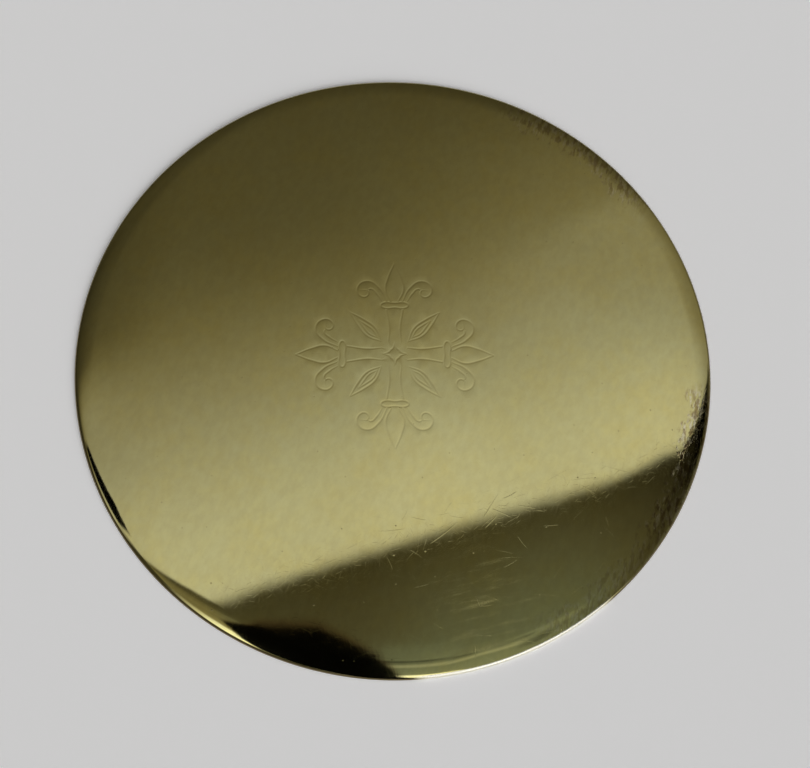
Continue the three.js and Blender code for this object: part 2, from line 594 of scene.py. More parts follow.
gilding = bpy.data.materials.new("worn_gilding")


def roll_plate():
    host = bpy.data.objects.new("gilt_dish", blank)
    scene.collection.objects.link(host)
    host.data = apply_tree(host, plate_tree(), template=template, engraving=engraving, finish=gilding)
    normals = np.zeros(len(host.data.vertices) * 3, np.float32)
    host.data.attributes["true_normal"].data.foreach_get("vector", normals)
    host.data.attributes.remove(host.data.attributes["true_normal"])
    host.data.shade_smooth()
    host.data.normals_split_custom_set_from_vertices(normals.reshape(-1, 3))
    return host


dish = roll_plate()
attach(dish, "root")
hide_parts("dish")
for tool in (template, half_arm, engraving):
    bpy.data.objects.remove(tool)
print("the plate has", len(dish.data.polygons), "faces")

# %% [markdown]
# Hairlines. Gilding is soft, and every wiping leaves fine scratches in it. A Voronoi texture divides
# the face into irregular cells. In each cell one scratch is drawn at a random angle with a slight
# bend, and it fades at both ends. Layers with cells of different sizes give the short nicks and the
# long swept lines. The group works in millimetres, so its inputs are real sizes.

# %% Group: hairlines
SEED_SHIFT = (37.0, 91.0)  # millimetres by which one step of the seed moves the cells
FAINTEST_LINE = 0.3  # strength of the faintest scratch beside the plainest


def hairlines_group():
    tree, given, result = new_tree(
        "hairlines", "ShaderNodeTree",
        [("Place", VECTOR, None), ("Cell", FLOAT, 8.0), ("Reach", FLOAT, 4.0),
         ("Half Width", FLOAT, 0.08), ("Bend", FLOAT, 0.03), ("Angle", FLOAT, 0.0),
         ("Spread", FLOAT, 2 * pi), ("Share", FLOAT, 0.6), ("Seed", FLOAT, 0.0)],
        [("Mask", FLOAT)])
    x, y, _ = parts_of(tree, given["Place"])
    shifted_x, shifted_y = [calc(tree, "MULTIPLY_ADD", given["Seed"], shift, value)
                            for shift, value in zip(SEED_SHIFT, (x, y))]
    shifted = joined(tree, shifted_x, shifted_y, 0.0)
    cells = place(tree, "ShaderNodeTexVoronoi", {"voronoi_dimensions": "2D"}, Vector=shifted,
                  Scale=calc(tree, "DIVIDE", 1.0, given["Cell"]))
    chance = place(tree, "ShaderNodeSeparateColor", Color=cells.outputs["Color"])
    turn_chance, bend_chance, keep_chance = chance.outputs
    dx, dy, _ = parts_of(tree, vector(tree, "SUBTRACT", shifted, cells.outputs["Position"]))
    aside = calc(tree, "SUBTRACT", turn_chance, 0.5)
    turn = calc(tree, "MULTIPLY_ADD", aside, given["Spread"], given["Angle"])
    level, upright = calc(tree, "COSINE", turn), calc(tree, "SINE", turn)
    along = calc(tree, "ADD", calc(tree, "MULTIPLY", dx, level), calc(tree, "MULTIPLY", dy, upright))
    straight = calc(tree, "SUBTRACT", calc(tree, "MULTIPLY", dy, level),
                    calc(tree, "MULTIPLY", dx, upright))
    bend = calc(tree, "MULTIPLY", calc(tree, "SUBTRACT", bend_chance, 0.5), given["Bend"])
    bowed = calc(tree, "MULTIPLY", bend, calc(tree, "POWER", along, 2.0))
    across = calc(tree, "SUBTRACT", straight, bowed)
    width = ramp(tree, calc(tree, "ABSOLUTE", across), 0.0, given["Half Width"], 1.0, 0.0)
    half_reach = calc(tree, "MULTIPLY", given["Reach"], 0.5)
    ends = ramp(tree, calc(tree, "ABSOLUTE", along), half_reach, given["Reach"], 1.0, 0.0)
    kept = calc(tree, "LESS_THAN", keep_chance, given["Share"])
    weight = calc(tree, "MULTIPLY_ADD", bend_chance, 1 - FAINTEST_LINE, FAINTEST_LINE)
    drawn = calc(tree, "MULTIPLY", width, ends)
    tree.links.new(calc(tree, "MULTIPLY", drawn, calc(tree, "MULTIPLY", kept, weight)), result["Mask"])
    return tree


hairlines = hairlines_group()
print("the hairlines group has", len(hairlines.nodes), "nodes")

# %% [markdown]
# Patches and specks. Breath, fingers and polish leave soft uneven patches, and dust and tiny pits
# leave specks. A noise cut between two levels makes the patches, and it can be stretched along one
# direction for the streaks that wiping leaves. Small discs in Voronoi cells make the specks.

# %% Groups: patches and specks
SPECK_SHIFT = 53.0  # millimetres by which one step of the seed moves the specks
SMALLEST_SPECK = 0.3  # beside the given size
SPECK_CORE = 0.4  # the share of a speck's radius that is full


def patches_group():
    tree, given, result = new_tree(
        "patches", "ShaderNodeTree",
        [("Place", VECTOR, None), ("Size", FLOAT, 10.0), ("Stretch", FLOAT, 1.0),
         ("Turn", FLOAT, 0.0), ("Low", FLOAT, 0.4), ("High", FLOAT, 0.6), ("Detail", FLOAT, 4.0),
         ("Seed", FLOAT, 0.0)],
        [("Mask", FLOAT)])
    turned = place(tree, "ShaderNodeVectorRotate", {"rotation_type": "Z_AXIS"}, Vector=given["Place"],
                   Angle=given["Turn"]).outputs[0]
    x, y, _ = parts_of(tree, turned)
    shaped = joined(tree, calc(tree, "DIVIDE", x, given["Stretch"]), y, 0.0)
    noise = place(tree, "ShaderNodeTexNoise", {"noise_dimensions": "4D"}, Vector=shaped, W=given["Seed"],
                  Scale=calc(tree, "DIVIDE", 1.0, given["Size"]), Detail=given["Detail"], Roughness=0.55)
    tree.links.new(ramp(tree, noise.outputs[0], given["Low"], given["High"]), result["Mask"])
    return tree


def specks_group():
    tree, given, result = new_tree(
        "specks", "ShaderNodeTree",
        [("Place", VECTOR, None), ("Cell", FLOAT, 4.0), ("Size", FLOAT, 0.15), ("Share", FLOAT, 0.4),
         ("Seed", FLOAT, 0.0)],
        [("Mask", FLOAT)])
    x, y, _ = parts_of(tree, given["Place"])
    shifted = joined(tree, calc(tree, "MULTIPLY_ADD", given["Seed"], SPECK_SHIFT, x), y, 0.0)
    cells = place(tree, "ShaderNodeTexVoronoi", {"voronoi_dimensions": "2D"}, Vector=shifted,
                  Scale=calc(tree, "DIVIDE", 1.0, given["Cell"]))
    chance = place(tree, "ShaderNodeSeparateColor", Color=cells.outputs["Color"]).outputs
    away = vector(tree, "DISTANCE", shifted, cells.outputs["Position"])
    size = calc(tree, "MULTIPLY", given["Size"], calc(tree, "ADD", chance[0], SMALLEST_SPECK))
    spot = ramp(tree, away, calc(tree, "MULTIPLY", size, SPECK_CORE), size, 1.0, 0.0)
    kept = calc(tree, "LESS_THAN", chance[1], given["Share"])
    tree.links.new(calc(tree, "MULTIPLY", spot, kept), result["Mask"])
    return tree


patches = patches_group()
specks = specks_group()
print("the groups are", ", ".join(group.name for group in (hairlines, patches, specks)))

# %% [markdown]
# The gilding's colours. It is a pale, greenish gold on silver, polished almost to a mirror. Metal has
# no colour of its own beside what it mirrors, so the base colour is the tint of its reflections. It
# wanders between a warmer and a cooler gold, and each kind of wear leads it to a colour of its own.
# The two colours of the edge are painted light: a dark one is painted shade, and a near white one is
# a painted highlight.

# %% Colours of the gilding
GOLD = (0.80, 0.745, 0.33, 1.0)
WARM_GOLD = (0.81, 0.725, 0.28, 1.0)
COOL_GOLD = (0.77, 0.735, 0.36, 1.0)
TARNISHED = (0.70, 0.63, 0.28, 1.0)
CUT_COLOUR = (0.55, 0.47, 0.20, 1.0)
WORN_PALE = (0.92, 0.85, 0.60, 1.0)
BROWN_TARNISH = (0.34, 0.24, 0.09, 1.0)
# Painted shade: a dark edge colour where the edge would mirror the shadow under it.
EDGE_SHADE = (0.20, 0.16, 0.08, 1.0)
# Painted highlight: a near white edge colour where the edge mirrors the window.
HIGHLIGHT_COLOUR = (1.0, 0.96, 0.82, 1.0)
print("the gold's tint runs from", WARM_GOLD[:3], "to", COOL_GOLD[:3])

# %% [markdown]
# The masks of the face. A mask says with a number from 0 to 1 where an effect shows. A table gives
# the look of every patch and every kind of scratch, in millimetres, so a new one is one more line.
# The scratches are plainest where the plate was wiped most, and a brush has left its strokes in one
# place near the rim.

# %% Masks of the face
PATCH_LOOKS = {
    "clouds": dict(Size=38.0, Low=0.35, High=0.70, Detail=3.0, Seed=2.0),
    "warmth": dict(Size=16.0, Low=0.35, High=0.65, Detail=4.0, Seed=3.0),
    "mottle": dict(Size=3.0, Low=0.30, High=0.70, Detail=5.0, Seed=9.0),
    "grain": dict(Size=1.5, Stretch=1.6, Turn=-1.2, Low=0.25, High=0.75, Detail=5.0, Seed=13.0),
    "smudges": dict(Size=6.0, Low=0.42, High=0.72, Detail=6.0, Seed=5.0),
    "fringe": dict(Size=0.5, Stretch=4.5, Turn=1.35, Low=0.30, High=0.75, Detail=3.0, Seed=6.0),
    "swell": dict(Size=8.0, Low=0.2, High=0.8, Detail=1.0, Seed=11.0),
    "worn": dict(Size=0.6, Stretch=3.0, Turn=-1.35, Low=0.47, High=0.60, Detail=4.0, Seed=8.0),
    "stained": dict(Size=1.0, Stretch=2.8, Turn=-1.35, Low=0.47, High=0.58, Detail=6.0, Seed=10.0),
    "brushed": dict(Size=1.6, Stretch=8.0, Turn=-0.25, Low=0.40, High=0.80, Detail=5.0, Seed=7.0),
    "ragged": dict(Size=2.5, Low=0.3, High=0.7, Detail=5.0, Seed=14.0),
}
FINE_LOOKS = (
    dict(Cell=1.3, Reach=0.9, Half_Width=0.07, Bend=0.2, Share=0.80, Seed=1.0),
    dict(Cell=3.2, Reach=2.0, Half_Width=0.07, Bend=0.1, Share=0.70, Seed=2.0),
)
STROKE_LOOKS = (
    dict(Cell=5.0, Reach=2.2, Half_Width=0.13, Bend=0.14, Angle=0.6, Spread=3.0, Share=0.50, Seed=3.0),
    dict(Cell=9.0, Reach=4.2, Half_Width=0.15, Bend=0.06, Angle=0.4, Spread=1.6, Share=0.60, Seed=4.0),
)
PIT_LOOK = dict(Cell=6.0, Size=0.20, Share=0.35, Seed=1.0)
FINE_BY_RADIUS = (66.0, 72.0, 1.0, 0.3)  # a soft step: its start and end, its value before and after
# A place on the face: its middle, the distance to which it is full and the one at which it ends.
WIPED = ((26.0, -48.0, 0.0), 12.0, 42.0)
BRUSHED = ((20.0, -61.0, 0.0), 5.0, 22.0)
UNWIPED_SHARE = 0.15  # how much of the strokes shows far from the wiped place


def use(tree, group, output="Mask", **values):
    """Places a node group and returns one of its outputs."""
    return place(tree, "ShaderNodeGroup", {"node_tree": group}, **values).outputs[output]


def total(tree, values, operation="ADD"):
    result = values[0]
    for value in values[1:]:
        result = calc(tree, operation, result, value)
    return result


def product(tree, values):
    return total(tree, values, "MULTIPLY")


def rest_of(tree, share):
    return calc(tree, "SUBTRACT", 1.0, share)


def round_about(tree, spot, centre, full, end):
    """1 in the middle of a round place on the face, and 0 outside it."""
    return ramp(tree, vector(tree, "DISTANCE", spot, centre), full, end, 1.0, 0.0)


def scratches(tree, spot, looks):
    return total(tree, [use(tree, hairlines, Place=spot, **look) for look in looks])


def face_masks(tree, spot, radius):
    """The masks that depend only on the place on the face, by name."""
    masks = {name: use(tree, patches, Place=spot, **look) for name, look in PATCH_LOOKS.items()}
    masks["brushed"] = product(tree, [masks["brushed"], round_about(tree, spot, *BRUSHED)])
    masks["fine"] = calc(tree, "MULTIPLY", scratches(tree, spot, FINE_LOOKS),
                         ramp(tree, radius, *FINE_BY_RADIUS))
    wiped = calc(tree, "MULTIPLY_ADD", round_about(tree, spot, *WIPED), 1 - UNWIPED_SHARE, UNWIPED_SHARE)
    masks["strokes"] = product(tree, [scratches(tree, spot, STROKE_LOOKS), wiped])
    masks["pits"] = use(tree, specks, Place=spot, **PIT_LOOK)
    return masks


print("the face has", len(PATCH_LOOKS), "kinds of patches and",
      len(FINE_LOOKS + STROKE_LOOKS), "kinds of scratches")

# %% [markdown]
# The masks of the rim. Stretches of it are rubbed and mottled, with a ragged inner border. The
# outermost band of the edge is rougher and a little darker: partly unpolished, partly painted shade.
# Low on the edge a dark colour is painted shade, where the edge would mirror the shadow under it,
# and on the near side a near white colour is a painted highlight, where it mirrors the window. The
# cosine of the angle to a chosen side tells how far round the rim a place lies.

# %% Masks of the rim
# The rubbed stretches: the angle of each from the +X axis, the cosine of the angle beside it at which
# it starts, the one at which it is full, and its share.
RUBBED = (
    (radians(-20), 0.951, 0.978, 1.0),
    (radians(-44), 0.93, 0.975, 0.45),
    (radians(51), 0.94, 0.985, 0.7),
)
RUBBED_REACH = (70.8, 73.2)  # millimetres from the middle: here the rub starts, here it is full
RAGGED_DEPTH = 4.0  # millimetres by which its inner border wanders
HIGHLIGHT_SIDE = radians(-67.5)  # here the painted highlight lies on the edge, where it mirrors the window
HIGHLIGHT_ARC = (0.940, 0.962)  # cosines of the angle beside it: here it starts, here it is full
# Millimetres from the middle at which each mask of the edge starts and at which it is full.
HIGHLIGHT_REACH = (74.25, 74.45)
DARK_REACH = (74.0, 74.3)
# The outer band is rougher and darker: partly an unpolished edge, partly painted shade.
UNPOLISHED_REACH = (74.70, 74.82)
DARK_HEIGHT = (0.85, 1.05, 1.0, 0.0)  # a soft step over the height, because the painted shade lies low on the edge


def facing(tree, spot, angle):
    """1 where the place lies in this direction from the middle, and less to both sides."""
    x, y, _ = parts_of(tree, spot)
    return vector(tree, "DOT_PRODUCT", vector(tree, "NORMALIZE", joined(tree, x, y, 0.0)),
                  (cos(angle), sin(angle), 0))


def rim_rub(tree, spot, radius, ragged):
    """The mask of the rubbed stretches near the rim."""
    reach = calc(tree, "MULTIPLY_ADD", ragged, RAGGED_DEPTH, radius)
    stretches = [calc(tree, "MULTIPLY", ramp(tree, facing(tree, spot, angle), start, full), share)
                 for angle, start, full, share in RUBBED]
    return calc(tree, "MULTIPLY", ramp(tree, reach, *RUBBED_REACH), total(tree, stretches, "MAXIMUM"))


def finish_masks(tree):
    """All masks of the gilding, by name."""
    spot = vector(tree, "SCALE", tree.nodes.new("ShaderNodeTexCoord").outputs["Object"], 1 / MM)
    x, y, height = parts_of(tree, spot)
    radius = vector(tree, "LENGTH", joined(tree, x, y, 0.0))
    masks = face_masks(tree, spot, radius)
    for name in ("cut", "hollow"):
        masks[name] = place(tree, "ShaderNodeAttribute", {"attribute_name": name}).outputs["Fac"]

    rub = product(tree, [rim_rub(tree, spot, radius, masks["ragged"]), rest_of(tree, masks["hollow"])])
    for name in ("worn", "stained"):
        masks[name] = calc(tree, "MULTIPLY", masks[name], rub)

    # Painted highlight: a near white colour on the near side of the edge, where it mirrors the window.
    on_highlight = ramp(tree, facing(tree, spot, HIGHLIGHT_SIDE), *HIGHLIGHT_ARC)
    elsewhere = rest_of(tree, on_highlight)
    masks["painted_highlight"] = product(tree, [ramp(tree, radius, *HIGHLIGHT_REACH), on_highlight])
    # The outer band: partly an unpolished edge, partly painted shade, away from the highlight's arc.
    masks["rough_shaded_edge"] = product(tree, [ramp(tree, radius, *UNPOLISHED_REACH), elsewhere])
    # Painted shade: a dark colour low on the edge, away from the highlight's arc.
    masks["painted_edge_shade"] = product(tree, [ramp(tree, radius, *DARK_REACH), elsewhere,
                                        ramp(tree, height, *DARK_HEIGHT)])
    return masks


print("the rim is rubbed in", len(RUBBED), "stretches")

# %% [markdown]
# The gilding itself. The Principled shader stays in the material, and the groups only give it masks.
# Three tables say what they do: which colour each one leads to, how much duller it makes the metal,
# and how deep it lies. Scratches and brush strokes work mostly by their roughness, because a mirror
# shows a dull line at once, and the swell is the slow unevenness that hand polishing leaves.

# %% Gilding
# Mask, share and colour, in the order in which they are laid over the gold.
COLOURING = (
    ("warmth", 1.0, WARM_GOLD),
    ("mottle", 0.5, COOL_GOLD),
    ("clouds", 0.25, TARNISHED),
    ("grain", 0.28, CUT_COLOUR),
    ("fine", 0.18, CUT_COLOUR),
    ("worn", 0.8, WORN_PALE),
    ("stained", 0.8, BROWN_TARNISH),
    ("cut", 0.25, CUT_COLOUR),
    ("pits", 0.6, CUT_COLOUR),
    # Partly an unpolished edge and partly painted shade.
    ("rough_shaded_edge", 0.8, CUT_COLOUR),
    # Painted shade: a dark colour where the edge would mirror the shadow under it.
    ("painted_edge_shade", 1.0, EDGE_SHADE),
    # Painted highlight: a near white colour where the edge mirrors the window.
    ("painted_highlight", 1.0, HIGHLIGHT_COLOUR),
)
POLISH = 0.038  # roughness of the clean face
# Roughness that each mask adds to it.
DULLING = {
    "smudges": 0.012, "fringe": 0.015, "fine": 0.04, "strokes": 0.25, "brushed": 0.28,
    "worn": 0.05, "painted_highlight": 0.20, "rough_shaded_edge": 0.20, "hollow": 0.12, "pits": 0.15,
}
# Millimetres by which each mask lowers the surface.
SINKING = {
    "fine": 0.0009, "strokes": 0.0022, "fringe": 0.0005, "pits": 0.006,
    "worn": 0.0030, "stained": 0.0030, "swell": 0.006,
}


def weighted(tree, masks, weights):
    """The sum of the masks, each times its weight."""
    return total(tree, [calc(tree, "MULTIPLY", masks[name], weight) for name, weight in weights.items()])


def gilding_shader():
    gilding.use_nodes = True
    tree = gilding.node_tree
    shader = tree.nodes["Principled BSDF"]
    shader.inputs["Metallic"].default_value = 1.0
    masks = finish_masks(tree)
    colour = GOLD
    for name, share, tint in COLOURING:
        colour = tinted(tree, calc(tree, "MULTIPLY", masks[name], share), colour, tint)
    tree.links.new(colour, shader.inputs["Base Color"])
    roughness = calc(tree, "ADD", weighted(tree, masks, DULLING), POLISH)
    tree.links.new(roughness, shader.inputs["Roughness"])
    sunk = calc(tree, "MULTIPLY", weighted(tree, masks, SINKING), -1.0)
    bump = place(tree, "ShaderNodeBump", Strength=1.0, Distance=1.0 * MM, Height=sunk)
    tree.links.new(bump.outputs["Normal"], shader.inputs["Normal"])


gilding_shader()
print("the gilding has", len(gilding.node_tree.nodes), "nodes")

# %% [markdown]
# The floor is plain and pale. It takes the plate's shadow and light as an ordinary matt surface, and
# camera rays and mirror rays see it brighter, so that it looks pale without more light on the plate.
# Seen from below it is clear, so that the hollow side can be looked at.

# %% Floor
FLOOR_REACH = 8.0
FLOOR_SIDES = 64
FLOOR_DROP = 0.02 * MM  # a gap this small keeps the floor from cutting into the plate's flat ring
FLOOR_COLOUR = (0.80, 0.80, 0.80, 1.0)
FLOOR_SEEN = (1.0, 1.0, 1.02, 1.0)
FLOOR_GLOW = 0.15
BACKGROUND_RAYS = ("Is Camera Ray", "Is Glossy Ray", "Is Transmission Ray")


def floor_material():
    material = bpy.data.materials.new("pale_floor")
    material.use_nodes = True
    tree = material.node_tree
    tree.nodes.clear()
    path = tree.nodes.new("ShaderNodeLightPath").outputs
    seen = calc(tree, "MINIMUM", total(tree, [path[name] for name in BACKGROUND_RAYS]), 1.0)
    matt = place(tree, "ShaderNodeBsdfDiffuse", Color=tinted(tree, seen, FLOOR_COLOUR, FLOOR_SEEN))
    lifted = place(tree, "ShaderNodeEmission", Color=FLOOR_COLOUR,
                   Strength=calc(tree, "MULTIPLY", seen, FLOOR_GLOW))
    lit = tree.nodes.new("ShaderNodeAddShader")
    tree.links.new(matt.outputs[0], lit.inputs[0])
    tree.links.new(lifted.outputs[0], lit.inputs[1])
    from_below = tree.nodes.new("ShaderNodeNewGeometry").outputs["Backfacing"]
    sides = place(tree, "ShaderNodeMixShader", Fac=from_below)
    tree.links.new(lit.outputs[0], sides.inputs[1])
    tree.links.new(tree.nodes.new("ShaderNodeBsdfTransparent").outputs[0], sides.inputs[2])
    tree.links.new(sides.outputs[0], tree.nodes.new("ShaderNodeOutputMaterial").inputs["Surface"])
    return material


def make_floor():
    bearings = [i * 2 * pi / FLOOR_SIDES for i in range(FLOOR_SIDES)]
    corners = [(FLOOR_REACH * cos(turn), FLOOR_REACH * sin(turn), -FLOOR_DROP) for turn in bearings]
    mesh = bpy.data.meshes.new("floor")
    mesh.from_pydata(corners, [], [list(range(FLOOR_SIDES))])
    mesh.materials.append(floor_material())
    floor = bpy.data.objects.new("floor", mesh)
    scene.collection.objects.link(floor)


make_floor()
print("the floor reaches", FLOOR_REACH, "m")

# %% [markdown]
# The studio is a world shader, and most of what the plate shows is its reflection. A direction is
# written as the point where it meets a level ceiling one unit up: u to the right and v away from the
# camera. On such a ceiling a straight strip light has straight edges, so every shape in the studio is
# a few lines and soft steps. A soft step is written as its start, its end, and its value before and
# after. A slanting line is written as its slope and its place at 0.

# %% Tones and shapes of the studio
DARK_TONE = (1.13, 1.0, 0.70, 1.0)
SHEET_TONE = (1.01, 1.0, 1.03, 1.0)
DIM_ROOM_TONE = (1.12, 1.0, 0.66, 1.0)
ROOM_TONE = (0.91, 1.0, 0.90, 1.0)
BLACK = (0.001, 0.001, 0.001, 1.0)
BROWN_SHADE = (0.040, 0.018, 0.008, 1.0)
PALE = (1.5, 1.5, 1.4, 1.0)


def bell(tree, share):
    """1 where the share is nothing, and a bell's curve down from there."""
    return calc(tree, "EXPONENT", calc(tree, "MULTIPLY", calc(tree, "POWER", share, 2.0), -1.0))


def glow(tree, u, v, centre, reach):
    """A round soft glow on the ceiling, 1 in its middle."""
    away = vector(tree, "DISTANCE", joined(tree, u, v, 0.0), centre)
    return bell(tree, calc(tree, "DIVIDE", away, reach))


def under(tree, value, limit, soft):
    """1 where value is under limit and 0 where it is over."""
    return above(tree, limit, value, soft)


def line(tree, value, slope, start):
    return calc(tree, "MULTIPLY_ADD", value, slope, start)


def held_between(tree, value, low, high):
    return calc(tree, "MINIMUM", calc(tree, "MAXIMUM", value, low), high)


print("dark places have the tone", DARK_TONE[:3], "and lit ones", SHEET_TONE[:3])

# %% [markdown]
# The lit sheet hangs over the far part of the ceiling. It is brightest at its near edge, and its
# light falls off from there like a bell. At the left it has a fold that is lit on its own. At the
# right are a second, weak panel, a few soft glows and a dimmer stretch. Far off, the ground behind
# the plate gives a little light too.

# %% The lit sheet
SHEET_DEPTHS = ((-0.9, -0.3, 0.387, 0.415), (0.0, 0.9, 0.0, -0.154))  # over u: how far its light reaches
SHEET_LEVEL = (0.51, 1.206, 0.495, 0.176)  # over u
FOLD_SHARE = (-0.712, -0.405, 1.0, 0.0)  # over u: 1 where the fold has taken the sheet's place
FOLD_LEVEL = (-0.105, 0.263, 0.442, 0.212)  # over v
FOLD_FAR_END = (0.265, 0.518, 1.0, 0.0)  # over v
FOLD_LEFT_END = (-1.12, -0.88)  # over u
PANEL_LEVEL = 0.051
PANEL_EDGE = (-0.41, -0.298)  # over u less v, because this edge runs aslant
PANEL_FAR = (0.515, 0.895)  # over v
GROUND_LEVEL = 0.078
GROUND_BY_HEIGHT = (0.36, 0.75, 0.616, 1.0)  # over the direction's own height
GROUND_LEFT = 0.476
GROUND_RISES = ((-1.25, -0.75, 0.0, 0.251), (-0.72, -0.42, 0.0, 0.318))  # over u
FAR_CORNER = (1.0, 1.3, 0.0, 0.593)  # over v: what comes back of the ground's light at the far left
DIMMED = -0.135
DIMMED_RIGHT = (0.64, 0.86)  # over u
DIMMED_NEAR = (0.45, 0.75)  # over v
DIMMED_FAR = (0.8, 1.0, 1.0, 0.0)  # over v
TONE_BY_LEVEL = (0.06, 0.42)  # dark places are warmer than lit ones
# Soft glows on the sheet: the centre of each on the ceiling, its reach and its strength.
SHEET_GLOWS = (
    ((0.705, 0.680, 0.0), 0.462, 0.158),
    ((1.158, 1.293, 0.0), 0.481, 0.047),
    ((0.36, 0.54, 0.0), 0.17, 0.042),
    ((-0.53, 0.22, 0.0), 0.34, 0.046),
    ((0.10, 0.10, 0.0), 0.15, 0.045),
)


def ground_light(tree, u, v, z, fold_share):
    from_left = total(tree, [GROUND_LEFT] + [ramp(tree, u, *rise) for rise in GROUND_RISES])
    corner = product(tree, [rest_of(tree, from_left), ramp(tree, v, *FAR_CORNER), fold_share])
    return product(tree, [GROUND_LEVEL, ramp(tree, z, *GROUND_BY_HEIGHT),
                          calc(tree, "ADD", from_left, corner)])


def lit_sheet(tree, u, v, z, beyond):
    """The light of the sheet's side of the ceiling. Beyond is the distance past its near edge."""
    fold_share = ramp(tree, u, *FOLD_SHARE)
    depth = total(tree, [ramp(tree, u, *step) for step in SHEET_DEPTHS])
    fall = bell(tree, calc(tree, "DIVIDE", calc(tree, "MAXIMUM", beyond, 0.0), depth))
    middle = product(tree, [fall, ramp(tree, u, *SHEET_LEVEL), rest_of(tree, fold_share)])
    fold = product(tree, [fold_share, ramp(tree, v, *FOLD_LEVEL), ramp(tree, v, *FOLD_FAR_END),
                          ramp(tree, u, *FOLD_LEFT_END)])
    panel = product(tree, [PANEL_LEVEL, ramp(tree, calc(tree, "SUBTRACT", u, v), *PANEL_EDGE),
                           ramp(tree, v, *PANEL_FAR)])
    glows = total(tree, [calc(tree, "MULTIPLY", glow(tree, u, v, centre, reach), strength)
                         for centre, reach, strength in SHEET_GLOWS])
    ground = ground_light(tree, u, v, z, fold_share)
    dimmed = product(tree, [DIMMED, ramp(tree, u, *DIMMED_RIGHT), ramp(tree, v, *DIMMED_NEAR),
                            ramp(tree, v, *DIMMED_FAR)])
    light = total(tree, [middle, fold, panel, glows, ground])
    level = calc(tree, "MULTIPLY", light, calc(tree, "ADD", dimmed, 1.0))
    tone = tinted(tree, ramp(tree, level, *TONE_BY_LEVEL), DARK_TONE, SHEET_TONE)
    return vector(tree, "SCALE", tone, level)


print("the sheet has", len(SHEET_GLOWS), "soft glows")

# %% [markdown]
# The near room is what the dark part of the plate mirrors: the dim space on this side of the sheet.
# Its wall is dark just before the sheet and brighter towards the window. A faint shelf crosses it,
# the window throws some light on the wall above it, and beside the black flag it is in shade.

# %% The near room
NEAR_END = 0.7  # distance before the sheet's edge from which the room stays the same
WALL_START = 0.04
WALL_RISE = 0.52
WALL_BEND = -0.44
WALL_BY_SIDE = (0.28, 0.80, 1.0, 0.14)  # over u
NEAR_LEVEL = 0.22
NEAR_BY_SIDE = (0.60, 0.85, 1.0, 0.7)  # over u
SIDE_LIGHTS = ((-0.50, -0.25, 0.03, 0.0), (1.10, 1.25, 0.0, 0.03))  # over u
SHELF_LEVEL = 0.055
SHELF_FAR = (-0.20, 0.015)  # a border: its place, here over v, and its softness
SHELF_NEAR = (-0.262, 0.01)
SHELF_RIGHT_END = (0.45, 0.55, 1.0, 0.0)  # over u
# The spill is the window's light on the wall above it, over the distance from the window's top.
SPILL_LEVEL = (0.0, 0.16, 0.13, 0.0)
SPILL_RIGHT_END = (-0.42, -0.34, 1.0, 0.0)  # over u
GLOOM_LEFT_END = (0.84, 0.98)  # over u
GLOOM_RIGHT_END = (1.12, 1.20, 1.0, 0.0)  # over u
GLOOM_DEPTH = (0.18, 0.42, 0.95, 0.0)  # over the distance before the sheet's edge
FLAG_SHADE = ((-0.06, -0.19, 0.0), 0.16)  # its centre and reach
FLAG_SHADE_SHARE = 0.30
SHADE_LEFT = (-0.60, -0.35, 0.6, 1.0)  # over u
PALE_BY_LEVEL = (0.03, 0.16)
PALE_BY_SIDE = (-0.45, -0.20)  # over u
WINDOW_TOP = -0.58
WINDOW_TOP_RISE = (-0.11, -0.5)  # left of this u the window's top rises with this slope
WINDOW_TOP_DROP = (0.20, 0.32, 0.0, -0.18)  # over u


def window_top(tree, u):
    """The upper edge of the window behind the camera. It is highest at the left."""
    start, slope = WINDOW_TOP_RISE
    left_part = calc(tree, "MULTIPLY", calc(tree, "MINIMUM", u, start), slope)
    return total(tree, [left_part, WINDOW_TOP, ramp(tree, u, *WINDOW_TOP_DROP)])


def near_shade(tree, u, v, before):
    """What is left of the light by the gloom at the right, the flag's shade and the dark left side."""
    gloom = product(tree, [ramp(tree, u, *GLOOM_LEFT_END), ramp(tree, u, *GLOOM_RIGHT_END),
                           ramp(tree, before, *GLOOM_DEPTH)])
    beside_flag = calc(tree, "MULTIPLY", glow(tree, u, v, *FLAG_SHADE), FLAG_SHADE_SHARE)
    return product(tree, [rest_of(tree, gloom), rest_of(tree, beside_flag), ramp(tree, u, *SHADE_LEFT)])


def near_room(tree, u, v, beyond):
    """The light of the near side of the ceiling."""
    before = held_between(tree, calc(tree, "MULTIPLY", beyond, -1.0), 0.0, NEAR_END)
    square = calc(tree, "POWER", before, 2.0)
    wall = total(tree, [calc(tree, "MULTIPLY", before, WALL_RISE),
                        calc(tree, "MULTIPLY", square, WALL_BEND), WALL_START])
    shelf = product(tree, [SHELF_LEVEL, under(tree, v, *SHELF_FAR), above(tree, v, *SHELF_NEAR),
                           ramp(tree, u, *SHELF_RIGHT_END)])
    over_window = calc(tree, "SUBTRACT", v, window_top(tree, u))
    spill = product(tree, [ramp(tree, over_window, *SPILL_LEVEL), ramp(tree, u, *SPILL_RIGHT_END)])
    level = total(tree, [product(tree, [wall, ramp(tree, u, *WALL_BY_SIDE)]), shelf, spill,
                         product(tree, [square, NEAR_LEVEL, ramp(tree, u, *NEAR_BY_SIDE)])]
                  + [ramp(tree, u, *step) for step in SIDE_LIGHTS])
    level = calc(tree, "MULTIPLY", level, near_shade(tree, u, v, before))
    pale_share = product(tree, [ramp(tree, level, *PALE_BY_LEVEL), ramp(tree, u, *PALE_BY_SIDE)])
    return vector(tree, "SCALE", tinted(tree, pale_share, DIM_ROOM_TONE, ROOM_TONE), level)


print("the window's top is at", WINDOW_TOP, "and the shelf's far side at", SHELF_FAR[0])

